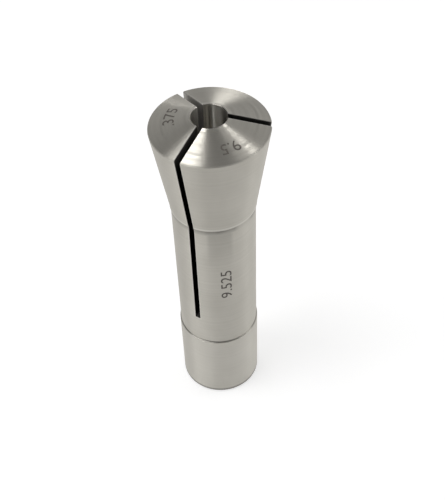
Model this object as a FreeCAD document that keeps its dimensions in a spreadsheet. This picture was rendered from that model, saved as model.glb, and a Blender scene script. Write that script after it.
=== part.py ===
"""Milling machine collet, 3/8 in bore.

One turned and ground piece of spring steel, standing on its rear end.
Origin: centre of the rear end. +Z: along the axis, up to the nose.
+X: the side of the keyway. The three slots lie at 180, 300 and 60 degrees.
Millimetres and degrees.
"""
import FreeCAD, Part
import math
import os
import Sketcher

V = FreeCAD.Vector

SIZES = [
    # outside, from the nose down
    ("head_dia", 31.75, "largest diameter, at the rim of the head"),
    ("rim_height", 101.6, "rear end to the rim of the head"),
    ("nose_angle", 15.5, "rise of the nose face from the rim to the bore"),
    ("rim_break", 0.25, "broken edge of the rim"),
    ("taper_half_angle", 8.425, "closing taper, half of 16 deg 51 min"),
    ("land_dia", 24.1, "land that the taper runs out on"),
    ("land_length", 0.6, "length of that land, down to the step"),
    ("neck_dia", 23.5, "relieved neck"),
    ("bearing_dia", 24.1, "rear bearing, a sliding fit in the spindle"),
    ("bearing_length", 26.0, "rear end to the front edge of the bearing"),
    ("bearing_break", 0.25, "broken front edge of the bearing"),
    ("rear_break", 0.45, "broken edge of the rear end"),
    # inside, from the nose down
    ("bore_dia", 9.525, "gripping bore, 3/8 in"),
    ("bore_break", 0.25, "broken edge of the bore's mouth"),
    ("grip_depth", 28.0, "gripping bore, below the rim"),
    ("relief_dia", 11.5, "relief bore behind the grip"),
    ("drill_half_angle", 59.0, "shoulder that the relief drill leaves"),
    ("thread_dia", 11.112, "drawbar thread over its roots, 7/16 in"),
    ("thread_depth", 25.4, "rear end to the end of the thread"),
    ("lead_dia", 12.6, "lead-in at the thread's mouth"),
    ("lead_half_angle", 30.0, "lead-in, half of 60 degrees"),
    # slots between the jaws, sawn from the nose
    ("jaw_count", 3, "jaws, and slots between them"),
    ("slot_width", 1.6, "width of the saw, 1/16 in"),
    ("slot_foot", 36.3, "rear end to the foot of a slot, on the neck"),
    ("saw_dia", 80.0, "saw that rounds the foot of the slots"),
    ("saw_reach", 1.0, "how far the saw goes past the axis"),
    ("slot_break", 0.15, "broken outer edges of the slots"),
    # keyway for the spindle's pin, milled along the bearing
    ("key_width", 3.97, "keyway, 5/32 in"),
    ("key_depth", 2.4, "floor of the keyway below the bearing"),
    ("key_length", 30.0, "rear end to the round end of the keyway"),
]

SIZE = {name: value for name, value, note in SIZES}

# Places that follow from the sizes.
HEAD_R = "Sizes.head_dia / 2"
LAND_R = "Sizes.land_dia / 2"
NECK_R = "Sizes.neck_dia / 2"
BEARING_R = "Sizes.bearing_dia / 2"
BORE_R = "Sizes.bore_dia / 2"
RELIEF_R = "Sizes.relief_dia / 2"
THREAD_R = "Sizes.thread_dia / 2"
LEAD_R = "Sizes.lead_dia / 2"
SAW_R = "Sizes.saw_dia / 2"
TAPER_TAN = "tan(Sizes.taper_half_angle * 1 deg)"
NOSE_TAN = "tan(Sizes.nose_angle * 1 deg)"
TAPER_FOOT = f"Sizes.rim_height - ({HEAD_R} - {LAND_R}) / {TAPER_TAN}"
STEP = f"{TAPER_FOOT} - Sizes.land_length"
APEX = f"Sizes.rim_height + {HEAD_R} * {NOSE_TAN}"
MOUTH_R = f"{BORE_R} + Sizes.bore_break"
MOUTH = f"Sizes.rim_height + ({HEAD_R} - {MOUTH_R}) * {NOSE_TAN}"
GRIP_END = "Sizes.rim_height - Sizes.grip_depth"
RELIEF_TOP = f"{GRIP_END} - ({RELIEF_R} - {BORE_R}) / tan(Sizes.drill_half_angle * 1 deg)"
LEAD = f"({LEAD_R} - {THREAD_R}) / tan(Sizes.lead_half_angle * 1 deg)"
PAST = 2.0  # every cutter starts this far outside the metal


def size_sheet(doc):
    """The driving dimensions, one to a row."""
    sheet = doc.addObject("Spreadsheet::Sheet", "Sizes")
    for row, (name, value, note) in enumerate(SIZES, start=1):
        sheet.set(f"A{row}", name)
        sheet.set(f"B{row}", str(value))
        sheet.set(f"C{row}", note)
        sheet.setAlias(f"B{row}", name)
    doc.recompute()
    return sheet


def origin_feature(body, role):
    return next(f for f in body.Origin.OriginFeatures if f.Role == role)


def sketch_on(body, name, role):
    sketch = body.newObject("Sketcher::SketchObject", name)
    sketch.AttachmentSupport = [(origin_feature(body, role), "")]
    sketch.MapMode = "FlatFace"
    return sketch


def dimension(sketch, kind, name, where, start, expression):
    """One driving constraint, bound to the sheet."""
    index = sketch.addConstraint(Sketcher.Constraint(kind, *where, start))
    sketch.renameConstraint(index, name)
    sketch.setExpression(f"Constraints.{name}", expression)


def place(sketch, name, geo, point, across, up):
    """Puts one end of a line at (across, up); "0" lies on an axis."""
    for kind, axis, mark, expression in (("DistanceX", -2, "x", across), ("DistanceY", -1, "y", up)):
        if expression == "0":
            sketch.addConstraint(Sketcher.Constraint("PointOnObject", geo, point, axis))
        else:
            dimension(sketch, kind, f"{name}_{mark}", (-1, 1, geo, point), 1.0, expression)


def closed_outline(sketch, corners):
    """A closed outline of straight lines through named corners."""
    count = len(corners)
    ring = [V(math.cos(2 * math.pi * i / count), math.sin(2 * math.pi * i / count), 0) * 50 for i in range(count)]
    for i in range(count):
        sketch.addGeometry(Part.LineSegment(ring[i], ring[(i + 1) % count]), False)
    for i, (name, across, up) in enumerate(corners):
        sketch.addConstraint(Sketcher.Constraint("Coincident", (i - 1) % count, 2, i, 1))
        place(sketch, name, i, 1, across, up)


def removed(doc, body, feature, before):
    """Every cut takes metal away, or its cutter points the wrong way."""
    body.Tip = feature
    doc.recompute()
    taken = before - body.Shape.Volume
    print(f"{feature.Name}: {taken:.1f} mm3 removed")
    if taken < 1:
        raise RuntimeError(f"{feature.Name} cuts nothing")
    return body.Shape.Volume


def turned_blank(doc, body):
    """The outside, from one half section."""
    sketch = sketch_on(body, "OutsideSection", "XZ_Plane")
    closed_outline(sketch, [
        ("axis_rear", "0", "0"),
        ("rear_inner", f"{BEARING_R} - Sizes.rear_break", "0"),
        ("rear_outer", BEARING_R, "Sizes.rear_break"),
        ("bearing_front", BEARING_R, "Sizes.bearing_length - Sizes.bearing_break"),
        ("bearing_edge", f"{BEARING_R} - Sizes.bearing_break", "Sizes.bearing_length"),
        ("neck_foot", NECK_R, "Sizes.bearing_length"),
        ("neck_top", NECK_R, STEP),
        ("step_edge", LAND_R, STEP),
        ("taper_foot", LAND_R, TAPER_FOOT),
        ("rim_lower", f"{HEAD_R} - Sizes.rim_break * {TAPER_TAN}", "Sizes.rim_height - Sizes.rim_break"),
        ("rim_upper", f"{HEAD_R} - Sizes.rim_break", f"Sizes.rim_height + Sizes.rim_break * {NOSE_TAN}"),
        ("nose_apex", "0", APEX),
    ])
    blank = body.newObject("PartDesign::Revolution", "TurnedBlank")
    blank.Profile = sketch
    blank.ReferenceAxis = (sketch, ["V_Axis"])
    blank.Angle = 360
    body.Tip = blank
    doc.recompute()
    return body.Shape.Volume


def bored_through(doc, body, volume):
    """Gripping bore, relief bore and drawbar hole, from one half section."""
    sketch = sketch_on(body, "BoreSection", "XZ_Plane")
    closed_outline(sketch, [
        ("axis_top", "0", f"{APEX} + {PAST}"),
        ("axis_rear", "0", f"-{PAST}"),
        ("lead_below", LEAD_R, f"-{PAST}"),
        ("lead_mouth", LEAD_R, "0"),
        ("thread_start", THREAD_R, LEAD),
        ("thread_end", THREAD_R, "Sizes.thread_depth"),
        ("relief_foot", RELIEF_R, "Sizes.thread_depth"),
        ("relief_top", RELIEF_R, RELIEF_TOP),
        ("grip_end", BORE_R, GRIP_END),
        ("grip_mouth", BORE_R, f"{MOUTH} - Sizes.bore_break"),
        ("mouth_edge", MOUTH_R, MOUTH),
        ("mouth_above", MOUTH_R, f"{APEX} + {PAST}"),
    ])
    bores = body.newObject("PartDesign::Groove", "Bores")
    bores.Profile = sketch
    bores.ReferenceAxis = (sketch, ["V_Axis"])
    bores.Angle = 360
    return removed(doc, body, bores, volume)


def sawn_slots(doc, body, volume):
    """One slot with the foot that a round saw leaves, turned to all jaws."""
    saw_r = SIZE["saw_dia"] / 2
    centre = V(SIZE["saw_reach"] - saw_r, SIZE["slot_foot"] + saw_r * 0.7, 0)
    outer = f"-({HEAD_R} + {PAST})"
    top = f"{APEX} + {PAST}"

    sketch = sketch_on(body, "SlotSection", "XZ_Plane")
    side, top_z = -SIZE["head_dia"] / 2 - PAST, SIZE["rim_height"] + 5
    low = math.acos((side - centre.x) / saw_r)
    high = math.acos(-centre.x / saw_r)
    foot_outer = centre + V(math.cos(-low), math.sin(-low), 0) * saw_r
    foot_inner = centre + V(math.cos(-high), math.sin(-high), 0) * saw_r
    sketch.addGeometry([
        Part.LineSegment(foot_inner, V(0, top_z, 0)),
        Part.LineSegment(V(0, top_z, 0), V(side, top_z, 0)),
        Part.LineSegment(V(side, top_z, 0), foot_outer),
        Part.ArcOfCircle(Part.Circle(centre, V(0, 0, 1), saw_r), -low, -high),
    ], False)
    for first, second in (((0, 2), (1, 1)), ((1, 2), (2, 1)), ((2, 2), (3, 1)), ((3, 2), (0, 1))):
        sketch.addConstraint(Sketcher.Constraint("Coincident", *first, *second))
    place(sketch, "axis_top", 1, 1, "0", top)
    place(sketch, "side_top", 2, 1, outer, top)
    sketch.addConstraint(Sketcher.Constraint("Vertical", 0))
    sketch.addConstraint(Sketcher.Constraint("Vertical", 2))
    dimension(sketch, "Radius", "saw", (3,), saw_r, SAW_R)
    dimension(sketch, "DistanceX", "saw_x", (-1, 1, 3, 3), centre.x, f"Sizes.saw_reach - {SAW_R}")
    dimension(sketch, "DistanceY", "saw_y", (-1, 1, 3, 3), centre.y,
              f"Sizes.slot_foot + sqrt(({SAW_R})^2 - ({SAW_R} - Sizes.saw_reach - {NECK_R})^2)")

    slot = body.newObject("PartDesign::Pocket", "Slot")
    slot.Profile = sketch
    slot.SideType = "Symmetric"
    slot.setExpression("Length", "Sizes.slot_width")
    removed(doc, body, slot, volume)

    slots = body.newObject("PartDesign::PolarPattern", "Slots")
    slots.Originals = [slot]
    slots.Axis = (origin_feature(body, "Z_Axis"), [""])
    slots.Angle = 360
    slots.setExpression("Occurrences", "Sizes.jaw_count")
    return removed(doc, body, slots, volume)


def broken_slot_edges(doc, body, volume):
    """The sharp edges that the saw leaves on nose, taper, land and neck."""
    neck_r, relief_r = SIZE["neck_dia"] / 2, SIZE["relief_dia"] / 2
    turns = [math.pi + 2 * math.pi * jaw / SIZE["jaw_count"] for jaw in range(SIZE["jaw_count"])]
    sharp = []
    for number, edge in enumerate(body.Shape.Edges, start=1):
        middle = edge.valueAt((edge.FirstParameter + edge.LastParameter) / 2)
        radius = math.hypot(middle.x, middle.y)
        for turn in turns:
            along = middle.x * math.cos(turn) + middle.y * math.sin(turn)
            across = abs(middle.y * math.cos(turn) - middle.x * math.sin(turn))
            on_wall = abs(across - SIZE["slot_width"] / 2) < 1e-4
            on_foot = across < 1e-3 and abs(radius - neck_r) < 1e-3
            if along > relief_r and (on_wall or on_foot) and edge.Curve.TypeId != "Part::GeomCircle":
                sharp.append(f"Edge{number}")
    slots = body.Tip
    broken = body.newObject("PartDesign::Chamfer", "BrokenSlotEdges")
    broken.Base = (slots, sharp)
    broken.setExpression("Size", "Sizes.slot_break")
    return removed(doc, body, broken, volume)


def milled_keyway(doc, body, volume):
    """A flat-floored keyway, open at the rear end and round at the other."""
    half = SIZE["key_width"] / 2
    end = SIZE["key_length"] - half

    sketch = sketch_on(body, "KeywaySection", "YZ_Plane")
    sketch.setExpression(".AttachmentOffset.Base.z", f"{BEARING_R} - Sizes.key_depth")
    sketch.addGeometry([
        Part.LineSegment(V(-half, -PAST, 0), V(half, -PAST, 0)),
        Part.LineSegment(V(half, -PAST, 0), V(half, end, 0)),
        Part.ArcOfCircle(Part.Circle(V(0, end, 0), V(0, 0, 1), half), 0, math.pi),
        Part.LineSegment(V(-half, end, 0), V(-half, -PAST, 0)),
    ], False)
    for first, second in (((0, 2), (1, 1)), ((1, 2), (2, 1)), ((2, 2), (3, 1)), ((3, 2), (0, 1))):
        sketch.addConstraint(Sketcher.Constraint("Coincident", *first, *second))
    place(sketch, "rear_left", 0, 1, "-Sizes.key_width / 2", f"-{PAST}")
    place(sketch, "rear_right", 1, 1, "Sizes.key_width / 2", f"-{PAST}")
    place(sketch, "round_end", 2, 3, "0", "Sizes.key_length - Sizes.key_width / 2")
    sketch.addConstraint(Sketcher.Constraint("Vertical", 1))
    sketch.addConstraint(Sketcher.Constraint("Vertical", 3))
    dimension(sketch, "Radius", "cutter", (2,), half, "Sizes.key_width / 2")

    keyway = body.newObject("PartDesign::Pocket", "Keyway")
    keyway.Profile = sketch
    keyway.Reversed = True
    keyway.setExpression("Length", f"Sizes.key_depth + {PAST}")
    return removed(doc, body, keyway, volume)


def check(doc, bodies):
    for obj in doc.Objects:
        if {"Invalid", "Error"} & set(obj.State):
            raise RuntimeError(f"{obj.Name} failed: {obj.State}")
    for body in bodies:
        if body.Shape.isNull() or not body.Shape.isValid() or len(body.Shape.Solids) != 1:
            raise RuntimeError(f"{body.Label} is not one valid solid")


def write(bodies):
    os.makedirs("parts", exist_ok=True)
    for body in bodies:
        body.Shape.exportStep(f"parts/{body.Label}.step")
        box = body.Shape.BoundBox
        print(f"{body.Label}: {body.Shape.Volume:.1f} mm3, {box.XLength:.2f} x {box.YLength:.2f} x {box.ZLength:.2f} mm")


doc = FreeCAD.newDocument("Collet")
size_sheet(doc)
collet = doc.addObject("PartDesign::Body", "Collet")
collet.Label = "collet"
collet.Placement = FreeCAD.Placement()
volume = turned_blank(doc, collet)
volume = bored_through(doc, collet, volume)
volume = sawn_slots(doc, collet, volume)
volume = broken_slot_edges(doc, collet, volume)
volume = milled_keyway(doc, collet, volume)
check(doc, [collet])
write([collet])
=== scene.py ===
# Milling machine collet: its steel, its drawbar thread, its size marks, and the studio round it.
# Metres, in the CAD frame: origin at the centre of the rear end, +Z up to the nose, +X the keyway.
import bmesh
import bpy
import math
from mathutils import Matrix, Vector


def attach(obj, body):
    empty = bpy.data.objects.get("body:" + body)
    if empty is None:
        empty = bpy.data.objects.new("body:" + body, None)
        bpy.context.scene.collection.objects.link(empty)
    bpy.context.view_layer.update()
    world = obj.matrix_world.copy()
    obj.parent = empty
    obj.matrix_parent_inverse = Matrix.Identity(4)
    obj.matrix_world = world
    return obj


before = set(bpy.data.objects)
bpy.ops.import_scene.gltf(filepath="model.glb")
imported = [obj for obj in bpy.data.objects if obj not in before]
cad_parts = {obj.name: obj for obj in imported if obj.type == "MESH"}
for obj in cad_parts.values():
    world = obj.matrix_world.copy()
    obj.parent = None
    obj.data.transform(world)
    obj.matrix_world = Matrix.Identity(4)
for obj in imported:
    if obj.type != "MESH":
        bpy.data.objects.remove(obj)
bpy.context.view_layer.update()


# The collet: one bar of spring steel, turned to shape, slit into three jaws, hardened and ground.
# The cutter leaves fine lines round the axis on every face, so light spreads across them and not
# along them: that makes the fans of light on the nose and the soft upright bands on the neck.
MM = 0.001
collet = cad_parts["collet"]
HEAD_RADIUS = 15.875 * MM
RIM_HEIGHT = 101.6 * MM
NOSE_SLOPE, TAPER_SLOPE = math.radians(15.5), math.radians(8.425)
LAND_RADIUS = 12.05 * MM
LAND_TOP = RIM_HEIGHT - (HEAD_RADIUS - LAND_RADIUS) / math.tan(TAPER_SLOPE)
LAND_FOOT = LAND_TOP - 0.6 * MM
NECK_RADIUS = 11.75 * MM
BEARING_TOP = 26.0 * MM
BORE_REACH = 5.9 * MM          # every bore is inside this
SLOT_HALF, SLOT_FOOT = 0.8 * MM, 36.3 * MM
THIRD = math.radians(120)      # from one slot to the next
FIRST_SLOT = THIRD / 2

STEEL_COLOUR = (0.577, 0.556, 0.504, 1)
STEEL_DARK = (0.503, 0.483, 0.433, 1)
# The colour of the painted highlights on the land and the slots' edges, and of the bearing's wear and
# painted sheen.
WORN_AND_HIGHLIGHT_COLOUR = (0.72, 0.70, 0.65, 1)
# The colour of the slots' scale; the painted shade, contact shadow and dark reflection take it as well.
SCALE_AND_SHADE_COLOUR = (0.022, 0.021, 0.020, 1)
GROUND_ROUGH, BORE_ROUGH = 0.40, 0.29
TAPER_ROUGHER = 0.03           # the closing taper is this much duller
NOSE_SWING, GROUND_SWING = 0.08, 0.01   # how far the roughness swings from band to band
LINE_PITCH = 0.16 * MM         # one turning line
BAND_PITCH = 0.9 * MM          # where the tool cut a little finer or coarser
LINE_DEPTH = 0.004 * MM
CUT_PITCH = 0.4 * MM           # rings left where the facing cut of the nose wavered
CUT_OVER_LINE = 15             # how much deeper they are than the lines
STAIN_SIZE = 9 * MM            # faint patches left by oil and handling
NOSE_SKIN = (0.05 * MM, 0.15 * MM)    # the nose's finish ends this far below its face
# Slot walls: scale plus painted shade, which is lighter in the first slot, where light falls in through
# the bore.
FIRST_SLOT_BLACK, OTHER_SLOTS_BLACK = (0.45, 0.5), (0.9, 1)   # just under the nose, and deep down
# How dark the painted shade under the land and over the bearing is, then the painted contact shadow at
# the rear end, then the painted dark reflection on the neck.
UNDER_LAND_SHADE, OVER_BEARING_SHADE, REAR_SHADOW, PATCH_REFLECTION = 0.6, 0.7, 0.5, 0.22
# Where round the axis the painted corner shade thins out, and where the painted dark reflection on the
# neck faces the camera.
LESS_SHADE_TURN, DARK_REFLECTION_TURN = math.radians(-104), math.radians(-141)
# How strong the painted highlight on the land, the painted glints on the slots' edges, and the bearing's
# wear and painted sheen are.
LAND_HIGHLIGHT, EDGE_HIGHLIGHT, BEARING_WEAR_AND_SHEEN = 0.5, 0.6, 0.22


def linked(tree, kind, inputs=None, **settings):
    """A node with its settings, and its inputs set to values or linked to other nodes' outputs."""
    node = tree.nodes.new(kind)
    for name, value in settings.items():
        setattr(node, name, value)
    for socket, source in (inputs or {}).items():
        if isinstance(source, bpy.types.NodeSocket):
            tree.links.new(source, node.inputs[socket])
        else:
            node.inputs[socket].default_value = source
    return node


def worked(tree, operation, *parts):
    """One Math node's result, from one to three numbers or sockets."""
    return linked(tree, "ShaderNodeMath", dict(enumerate(parts)), operation=operation).outputs[0]


def product(tree, first, *others):
    for other in others:
        first = worked(tree, "MULTIPLY", first, other)
    return first


def largest(tree, first, *others):
    for other in others:
        first = worked(tree, "MAXIMUM", first, other)
    return first


def ramp(tree, value, start, end, low=0.0, high=1.0):
    """low up to start, high from end on, and even in between."""
    return linked(tree, "ShaderNodeMapRange", {0: value, 1: start, 2: end, 3: low, 4: high}).outputs[0]


def wavy(tree, size, detail, where, place):
    """Noise whose lumps are about size across, along a line or in space."""
    return linked(tree, "ShaderNodeTexNoise", {where: place, "Scale": 1 / size, "Detail": detail},
                  noise_dimensions="1D" if where == "W" else "3D").outputs[0]


def mixed(tree, amount, first, second):
    """A number, from first to second as amount goes from 0 to 1."""
    return linked(tree, "ShaderNodeMix", {0: amount, 2: first, 3: second}, data_type="FLOAT").outputs[0]


def blended(tree, amount, first, second):
    """A colour, from first to second as amount goes from 0 to 1."""
    return linked(tree, "ShaderNodeMix", {0: amount, 6: first, 7: second}, data_type="RGBA").outputs[2]


def away_from(tree, turn, middle):
    """How far round the axis a place is from the turn middle."""
    return worked(tree, "ABSOLUTE", worked(tree, "SUBTRACT", turn, middle))


def bare_material(name):
    """A new material and its tree, with no nodes yet."""
    material = bpy.data.materials.new(name)
    material.use_nodes = True
    material.node_tree.nodes.clear()
    return material, material.node_tree


def scale_and_painted_shade(tree, height, across, below_nose, turn):
    """How black the slots' walls are: scale from hardening plus painted shade, blackest deep down and
    paler in the first slot, where light falls in.
    """
    in_slot = ramp(tree, across, SLOT_HALF + 0.01 * MM, SLOT_HALF + 0.03 * MM, 1, 0)
    above_foot = ramp(tree, height, SLOT_FOOT - 0.05 * MM, SLOT_FOOT + 0.05 * MM)
    # Painted shade: lighter in the first slot, where light falls in, and darker deeper under the nose.
    from_first = away_from(tree, turn, FIRST_SLOT)
    at_nose, deep = (ramp(tree, from_first, THIRD / 6, THIRD / 3, first, other)
                     for first, other in zip(FIRST_SLOT_BLACK, OTHER_SLOTS_BLACK))
    return product(tree, in_slot, above_foot, ramp(tree, below_nose, 0.3 * MM, 4 * MM, at_nose, deep))


def painted_shade_and_reflection(tree, radius, height, turn, blotches):
    """How dark the painted light is: painted shade in the neck's two corners, a painted dark reflection
    on the neck, and a painted contact shadow round the rear end.
    """
    slim = product(tree, ramp(tree, radius, NECK_RADIUS + 0.05 * MM, NECK_RADIUS + 0.1 * MM, 1, 0),
                   ramp(tree, height, LAND_FOOT + 0.01 * MM, LAND_FOOT + 0.03 * MM, 1, 0))
    # Painted shade in the corner under the land and in the corner over the bearing's shoulder.
    under_land = ramp(tree, height, LAND_FOOT - 2.2 * MM, LAND_FOOT - 0.6 * MM, 0, UNDER_LAND_SHADE)
    over_bearing = ramp(tree, height, BEARING_TOP, BEARING_TOP + 0.6 * MM, OVER_BEARING_SHADE, 0)
    # The painted corner shade thins out round this turn.
    less_shade = ramp(tree, away_from(tree, turn, LESS_SHADE_TURN), math.radians(9), math.radians(16), 0.2, 1)
    corners = product(tree, slim, largest(tree, under_land, over_bearing),
                      ramp(tree, blotches, 0.4, 0.6, 0.45, 1), less_shade)
    # A painted dark reflection on the neck's front, facing the camera and darkest just under the land.
    patch = ramp(tree, away_from(tree, turn, DARK_REFLECTION_TURN), math.radians(14), math.radians(19), 1, 0)
    patch = product(tree, patch, ramp(tree, height, 60 * MM, LAND_FOOT, 0, PATCH_REFLECTION), slim)
    # A painted contact shadow at the foot, where the collet stands on the floor.
    rear_end = ramp(tree, height, 0.9 * MM, 1.5 * MM, REAR_SHADOW, 0)
    return largest(tree, corners, rear_end, patch)


def wear_and_painted_highlight(tree, radius, height, across):
    """Where it is painted brighter: a painted highlight on the land, painted glints on the slots' broken
    edges, and the ground bearing's wear with painted sheen.
    """
    off_neck = ramp(tree, radius, NECK_RADIUS + 0.1 * MM, LAND_RADIUS)
    # A painted highlight on the land.
    land = product(tree, ramp(tree, height, LAND_FOOT, LAND_FOOT + 0.1 * MM),
                   ramp(tree, height, LAND_TOP, LAND_TOP + 0.1 * MM, 1, 0), off_neck, LAND_HIGHLIGHT)
    # Painted glints along the slots' broken edges.
    edges = product(tree, ramp(tree, across, SLOT_HALF + 0.25 * MM, SLOT_HALF + 0.4 * MM, EDGE_HIGHLIGHT, 0),
                    ramp(tree, height, SLOT_FOOT - 0.4 * MM, SLOT_FOOT - 0.2 * MM))
    # The bearing: worn by the spindle, with painted sheen.
    bearing = product(tree, ramp(tree, height, BEARING_TOP, BEARING_TOP + 0.1 * MM, BEARING_WEAR_AND_SHEEN, 0),
                      off_neck)
    return largest(tree, land, edges, bearing)


def turned_steel(name):
    """Steel with turning lines: one number, radius plus height, runs across the lines of every face."""
    material, tree = bare_material(name)
    place = linked(tree, "ShaderNodeTexCoord").outputs["Object"]
    spot = linked(tree, "ShaderNodeSeparateXYZ", {0: place}).outputs
    flat = linked(tree, "ShaderNodeVectorMath", {0: place, 1: (1, 1, 0)}, operation="MULTIPLY").outputs[0]
    radius = linked(tree, "ShaderNodeVectorMath", {0: flat}, operation="LENGTH").outputs["Value"]
    height = spot["Z"]
    turn = worked(tree, "ARCTAN2", spot["Y"], spot["X"])
    off_slot = worked(tree, "SUBTRACT", worked(tree, "FLOORED_MODULO", turn, THIRD), THIRD / 2)
    across = worked(tree, "ABSOLUTE", product(tree, radius, worked(tree, "SINE", off_slot)))
    nose_tip = RIM_HEIGHT + HEAD_RADIUS * math.tan(NOSE_SLOPE)
    nose_top = ramp(tree, radius, 0, HEAD_RADIUS, nose_tip, RIM_HEIGHT)
    below_nose = worked(tree, "SUBTRACT", nose_top, height)

    along = worked(tree, "ADD", radius, height)
    lines = wavy(tree, LINE_PITCH, 2.0, "W", along)
    bands = wavy(tree, BAND_PITCH, 3.0, "W", along)
    cuts = wavy(tree, CUT_PITCH, 2.0, "W", along)
    stains = wavy(tree, STAIN_SIZE, 4.0, "Vector", place)
    grain = mixed(tree, 0.5, lines, bands)

    tone = ramp(tree, mixed(tree, 0.4, grain, stains), 0.35, 0.65)
    colour = blended(tree, tone, STEEL_DARK, STEEL_COLOUR)
    # Painted highlights and glints, and the bearing's wear with painted sheen.
    colour = blended(tree, wear_and_painted_highlight(tree, radius, height, across), colour, WORN_AND_HIGHLIGHT_COLOUR)
    # Scale with painted shade on the slot walls, and the painted shade, contact shadow and dark
    # reflection on the neck and rear end.
    black = largest(tree, scale_and_painted_shade(tree, height, across, below_nose, turn),
                    painted_shade_and_reflection(tree, radius, height, turn, stains))
    colour = blended(tree, black, colour, SCALE_AND_SHADE_COLOUR)

    swing = product(tree, ramp(tree, bands, 0.3, 0.7, -1, 1),
                    ramp(tree, below_nose, *NOSE_SKIN, NOSE_SWING, GROUND_SWING))
    finish = ramp(tree, radius, BORE_REACH, BORE_REACH + 0.05 * MM, BORE_ROUGH, GROUND_ROUGH)
    on_taper = product(tree, ramp(tree, height, LAND_TOP, LAND_TOP + 0.2 * MM, 0, TAPER_ROUGHER),
                       ramp(tree, below_nose, *NOSE_SKIN))
    rough = worked(tree, "ADD", worked(tree, "ADD", swing, finish), on_taper)

    relief = worked(tree, "ADD", product(tree, grain, ramp(tree, below_nose, *NOSE_SKIN, 1, 0.3)),
                    product(tree, cuts, ramp(tree, below_nose, *NOSE_SKIN, CUT_OVER_LINE, 0)))
    bump = linked(tree, "ShaderNodeBump", {"Strength": 0.3, "Distance": LINE_DEPTH, "Height": relief})
    shader = linked(tree, "ShaderNodeBsdfPrincipled",
                    {"Base Color": colour, "Metallic": 1.0, "Roughness": rough, "Anisotropic": 1.0,
                     "Anisotropic Rotation": 0.25, "Normal": bump.outputs[0]})
    linked(tree, "ShaderNodeOutputMaterial", {"Surface": shader.outputs[0]})
    return material


steel = turned_steel("ground_steel")
for slot in collet.material_slots:
    slot.material = steel


# The drawbar thread: cut with a tap into the rear hole, 7/16 in with 20 turns to the inch.
# Its ridges stand on the wall of the hole, which is at the thread's full diameter.
THREAD_RADIUS, THREAD_CREST_RADIUS = 5.556 * MM, 4.93 * MM
THREAD_PITCH = 1.27 * MM
THREAD_START, THREAD_END = 1.30 * MM, 25.40 * MM
THREAD_SEAT = 0.05 * MM        # how far a ridge's foot goes into the wall
RIDGE_FOOT_HALF, RIDGE_CREST_HALF = THREAD_PITCH * 7 / 16, THREAD_PITCH / 8
STEPS_PER_TURN = 64


def thread_ridge_tree():
    """A ridge with sloping flanks that winds up the hole, right-handed."""
    tree = bpy.data.node_groups.new("thread_ridge", "GeometryNodeTree")
    for name in ("Foot Radius", "Depth", "Pitch", "Turns", "Half Foot", "Half Crest", "Start Height"):
        tree.interface.new_socket(name, in_out="INPUT", socket_type="NodeSocketFloat")
    tree.interface.new_socket("Steps per Turn", in_out="INPUT", socket_type="NodeSocketInt")
    tree.interface.new_socket("Steel", in_out="INPUT", socket_type="NodeSocketMaterial")
    tree.interface.new_socket("Geometry", in_out="OUTPUT", socket_type="NodeSocketGeometry")
    size = linked(tree, "NodeGroupInput").outputs

    helix = linked(tree, "GeometryNodeCurveSpiral",
                   {"Resolution": size["Steps per Turn"], "Rotations": size["Turns"],
                    "Start Radius": size["Foot Radius"], "End Radius": size["Foot Radius"],
                    "Height": product(tree, size["Pitch"], size["Turns"]), "Reverse": True})
    upright = linked(tree, "GeometryNodeSetCurveNormal", {"Curve": helix.outputs[0]}, mode="Z_UP")

    def corner(inward, side, half):
        return linked(tree, "ShaderNodeCombineXYZ", {"X": product(tree, size["Depth"], -inward),
                                                     "Y": product(tree, size[half], side)}).outputs[0]

    section = linked(tree, "GeometryNodeCurvePrimitiveQuadrilateral",
                     {"Point 1": corner(0, -1, "Half Foot"), "Point 2": corner(0, 1, "Half Foot"),
                      "Point 3": corner(1, 1, "Half Crest"), "Point 4": corner(1, -1, "Half Crest")},
                     mode="POINTS")
    ridge = linked(tree, "GeometryNodeCurveToMesh",
                   {"Curve": upright.outputs[0], "Profile Curve": section.outputs[0], "Fill Caps": True})
    lift = linked(tree, "ShaderNodeCombineXYZ", {"Z": size["Start Height"]})
    placed = linked(tree, "GeometryNodeTransform",
                    {"Geometry": ridge.outputs[0], "Translation": lift.outputs[0]})
    real = linked(tree, "GeometryNodeRealizeInstances", {"Geometry": placed.outputs[0]})
    steel_on = linked(tree, "GeometryNodeSetMaterial",
                      {"Geometry": real.outputs[0], "Material": size["Steel"]})
    linked(tree, "NodeGroupOutput", {"Geometry": steel_on.outputs[0]})
    return tree


def grown(name, tree, values):
    """A plain mesh object from a geometry tree and the values of its named inputs."""
    seed = bpy.data.objects.new(name, bpy.data.meshes.new(name))
    bpy.context.scene.collection.objects.link(seed)
    growth = seed.modifiers.new("growth", "NODES")
    growth.node_group = tree
    for item in tree.interface.items_tree:
        if item.in_out == "INPUT" and item.name in values:
            growth[item.identifier] = values[item.name]
    seed.update_tag()
    mesh = bpy.data.meshes.new_from_object(seed.evaluated_get(bpy.context.evaluated_depsgraph_get()))
    seed.modifiers.remove(growth)
    seed.data = mesh
    return seed


foot_radius = THREAD_RADIUS + THREAD_SEAT
thread = grown("drawbar_thread", thread_ridge_tree(), {
    "Foot Radius": foot_radius, "Depth": foot_radius - THREAD_CREST_RADIUS, "Pitch": THREAD_PITCH,
    "Turns": (THREAD_END - THREAD_START - 2 * RIDGE_FOOT_HALF) / THREAD_PITCH,
    "Half Foot": RIDGE_FOOT_HALF, "Half Crest": RIDGE_CREST_HALF,
    "Start Height": THREAD_START + RIDGE_FOOT_HALF, "Steps per Turn": STEPS_PER_TURN, "Steel": steel})
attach(thread, "root")


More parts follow.
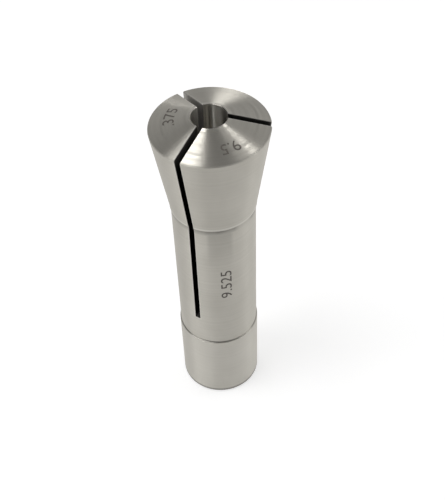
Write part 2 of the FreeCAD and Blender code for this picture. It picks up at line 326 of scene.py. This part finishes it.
# The size marks: the bore's size in inches and millimetres, burnt dark into nose and neck by a laser.
# Each is a thin crust on the steel that follows the face under it.
MARK_UNDER, MARK_OVER = 0.02 * MM, 0.015 * MM
MARK_STEP = 0.35 * MM          # the numerals are cut this often, to bend round the face
WELD_REACH, CUT_REACH = 1e-5, 1e-9   # points this close are one, or lie on the cut
SOOT_DARK, SOOT_PALE = (0.045, 0.039, 0.033, 1), (0.150, 0.135, 0.118, 1)
SOOT_GRAIN = 0.25 * MM


def burnt_steel(name):
    """The crust that the laser leaves: dull and brown-black, in fine specks."""
    material, tree = bare_material(name)
    place = linked(tree, "ShaderNodeTexCoord").outputs["Object"]
    soot = blended(tree, wavy(tree, SOOT_GRAIN, 2.0, "Vector", place), SOOT_DARK, SOOT_PALE)
    shader = linked(tree, "ShaderNodeBsdfPrincipled",
                    {"Base Color": soot, "Roughness": 0.55, "Metallic": 0.3})
    linked(tree, "ShaderNodeOutputMaterial", {"Surface": shader.outputs[0]})
    return material


burnt = burnt_steel("burnt_mark")


def nose_face(turn, middle_radius):
    """Reads clockwise seen from above, with the tops outwards."""
    def place(along, up, out):
        angle = turn - along / middle_radius
        radius = middle_radius + up * math.cos(NOSE_SLOPE)
        height = RIM_HEIGHT + (HEAD_RADIUS - radius) * math.tan(NOSE_SLOPE) + out * math.cos(NOSE_SLOPE)
        radius += out * math.sin(NOSE_SLOPE)
        return radius * math.cos(angle), radius * math.sin(angle), height
    return place


def neck_face(turn, middle_height):
    """Reads upwards, with the tops to the left."""
    def place(along, up, out):
        angle = turn - up / NECK_RADIUS
        radius = NECK_RADIUS + out
        return radius * math.cos(angle), radius * math.sin(angle), middle_height + along
    return place


def size_mark(name, words, length, height, place):
    """Numerals of that length and height, bent onto the collet by place."""
    font = bpy.data.curves.new(name, "FONT")
    font.body = words
    font.extrude = 0.5         # any thickness, because front and back are placed below
    font.resolution_u = 3
    draft = bpy.data.objects.new(name, font)
    bpy.context.scene.collection.objects.link(draft)
    flat = bpy.data.meshes.new_from_object(draft.evaluated_get(bpy.context.evaluated_depsgraph_get()))
    bpy.data.objects.remove(draft)
    shape = bmesh.new()
    shape.from_mesh(flat)
    bmesh.ops.remove_doubles(shape, verts=shape.verts, dist=WELD_REACH)
    bmesh.ops.recalc_face_normals(shape, faces=shape.faces)
    low = [min(v.co[i] for v in shape.verts) for i in range(2)]
    high = [max(v.co[i] for v in shape.verts) for i in range(2)]
    for v in shape.verts:
        v.co.x = ((v.co.x - low[0]) / (high[0] - low[0]) - 0.5) * length
        v.co.y = ((v.co.y - low[1]) / (high[1] - low[1]) - 0.5) * height
        v.co.z = MARK_OVER if v.co.z > 0 else -MARK_UNDER
    for direction, reach in (((1, 0, 0), length), ((0, 1, 0), height)):
        cuts = math.ceil(reach / MARK_STEP)
        for k in range(1, cuts):
            spot = Vector(direction) * (k / cuts - 0.5) * reach
            bmesh.ops.bisect_plane(shape, geom=shape.verts[:] + shape.edges[:] + shape.faces[:],
                                   dist=CUT_REACH, plane_co=spot, plane_no=direction)
    for v in shape.verts:
        v.co = place(*v.co)
    mesh = bpy.data.meshes.new(name)
    shape.to_mesh(mesh)
    shape.free()
    mesh.materials.append(burnt)
    mark = bpy.data.objects.new(name, mesh)
    bpy.context.scene.collection.objects.link(mark)
    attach(mark, "root")


size_mark("inch_mark", ".375", 7.4 * MM, 3.1 * MM, nose_face(math.radians(111.4), 10.4 * MM))
size_mark("metric_mark", "9.5", 5.0 * MM, 3.1 * MM, nose_face(math.radians(237.7), 11.4 * MM))
size_mark("neck_mark", "9.525", 11.5 * MM, 3.2 * MM, neck_face(math.radians(225.2), 52.6 * MM))


# The floor: a white sheet of card that the collet stands on, swept out beyond the picture.
# It is white to the camera and in the steel, and it keeps the collet's soft shadow. The lamps
# light its far part less, so its glow rises from near the collet outwards.
FLOOR_HALF = 3.0
CARD_COLOUR = (0.68, 0.68, 0.68, 1)
NEAR_REACH, FAR_REACH = 0.22, 0.7
NEAR_GLOW, FAR_GLOW = 0.56, 0.86


def seen(tree):
    """1 to the camera, mirrors and glass, and 0 for the light that falls on things."""
    rays = linked(tree, "ShaderNodeLightPath").outputs
    return largest(tree, rays["Is Camera Ray"], rays["Is Glossy Ray"], rays["Is Transmission Ray"])


def white_card(name):
    """Paper that takes light and shadow, and glows as well to whatever sees it."""
    material, tree = bare_material(name)
    place = linked(tree, "ShaderNodeTexCoord").outputs["Object"]
    reach = linked(tree, "ShaderNodeVectorMath", {0: place}, operation="LENGTH").outputs["Value"]
    glow = product(tree, seen(tree), ramp(tree, reach, NEAR_REACH, FAR_REACH, NEAR_GLOW, FAR_GLOW))
    paper = linked(tree, "ShaderNodeBsdfDiffuse", {"Color": CARD_COLOUR})
    shine = linked(tree, "ShaderNodeEmission", {"Color": (1, 1, 1, 1), "Strength": glow})
    both = linked(tree, "ShaderNodeAddShader", {0: paper.outputs[0], 1: shine.outputs[0]})
    linked(tree, "ShaderNodeOutputMaterial", {"Surface": both.outputs[0]})
    return material


floor_mesh = bpy.data.meshes.new("floor")
floor_mesh.from_pydata([(-FLOOR_HALF, -FLOOR_HALF, 0), (FLOOR_HALF, -FLOOR_HALF, 0),
                        (FLOOR_HALF, FLOOR_HALF, 0), (-FLOOR_HALF, FLOOR_HALF, 0)], [], [(0, 1, 2, 3)])
floor_mesh.materials.append(white_card("white_card"))
floor = bpy.data.objects.new("floor", floor_mesh)
bpy.context.scene.collection.objects.link(floor)


# The camera: above the collet's left front, looking down on the nose, upright picture.
# The lens and its place come from fitting rims and shoulders to the photograph.
VIEW_TURN = math.radians(-57.6)   # how far round the axis the camera stands from the -Y side
CAMERA_PLACE = (0, -179.399 * MM, 251.247 * MM)
CAMERA_PAN, CAMERA_TILT, CAMERA_ROLL = -0.011, math.radians(90) - 0.831, -0.041
camera_data = bpy.data.cameras.new("camera")
camera_data.sensor_width = 36
camera_data.lens = 65.95
camera_data.clip_start = 0.01
camera = bpy.data.objects.new("camera", camera_data)
bpy.context.scene.collection.objects.link(camera)
camera.matrix_world = (Matrix.Rotation(VIEW_TURN, 4, "Z")
                       @ Matrix.Translation(CAMERA_PLACE)
                       @ Matrix.Rotation(CAMERA_PAN, 4, "Z")
                       @ Matrix.Rotation(CAMERA_TILT, 4, "X")
                       @ Matrix.Rotation(CAMERA_ROLL, 4, "Z"))
bpy.context.scene.camera = camera


# The lamps: soft boxes that hang round the collet, placed as the camera sees them,
# with x to the right, y away from the camera and z up. Each faces the nose.
NOSE = Vector((0, 0, 0.1))


def soft_box(name, place, long_way, size, radiance):
    """A panel at place from the nose, with its first side along long_way."""
    lamp = bpy.data.lights.new(name, "AREA")
    lamp.shape = "RECTANGLE"
    lamp.size, lamp.size_y = size
    lamp.energy = radiance * math.pi * size[0] * size[1]
    back = Vector(place).normalized()
    side = (Vector(long_way) - back * back.dot(Vector(long_way))).normalized()
    turn = Matrix((side, back.cross(side), back)).transposed().to_4x4()
    box = bpy.data.objects.new(name, lamp)
    bpy.context.scene.collection.objects.link(box)
    box.matrix_world = (Matrix.Rotation(VIEW_TURN, 4, "Z")
                        @ Matrix.Translation(NOSE + Vector(place))
                        @ turn)
    box.visible_camera = False


soft_box("key_box", (-0.272, -0.074, 0.529), (0.454, 0.891, 0), (0.25, 0.38), 5.2)
soft_box("key_strip", (-0.132, 0.162, 0.562), (0.407, 0.914, 0), (0.30, 0.10), 4.7)
soft_box("right_strip", (0.337, 0.118, 0.482), (0.701, -0.713, 0), (0.28, 0.085), 5.2)
soft_box("small_box", (0.276, -0.002, 0.533), (0.515, -0.857, 0), (0.25, 0.12), 1.1)


# The room: pale and brightest low down at the right and behind, where the sheet curves up to a
# window, and dim overhead and on the camera's side. To the camera and in the steel, the sheet's
# far part is white up to a little over the horizon.
TO_WINDOW = (0.44, 0.51, -0.74)
DIM, BRIGHT = 0.13, 0.80
SHEET_FADES = (0.06, 0.10)     # heights of the direction between which the sheet ends
world = bpy.data.worlds.new("room")
bpy.context.scene.world = world
world.use_nodes = True
room = world.node_tree
room.nodes.clear()
direction = linked(room, "ShaderNodeTexCoord").outputs["Generated"]
turned = linked(room, "ShaderNodeVectorRotate", {"Vector": direction, "Angle": -VIEW_TURN},
                rotation_type="Z_AXIS").outputs[0]
window = linked(room, "ShaderNodeVectorMath", {0: turned, 1: TO_WINDOW},
                operation="DOT_PRODUCT").outputs["Value"]
upward = linked(room, "ShaderNodeSeparateXYZ", {0: direction}).outputs["Z"]
far_sheet = product(room, seen(room), ramp(room, upward, *SHEET_FADES, 1, 0))
level = largest(room, ramp(room, window, -1, 1, DIM, BRIGHT), far_sheet)
sky = linked(room, "ShaderNodeBackground", {"Color": (1, 1, 1, 1), "Strength": level})
linked(room, "ShaderNodeOutputWorld", {"Surface": sky.outputs[0]})

bpy.context.scene.view_settings.view_transform = "Standard"
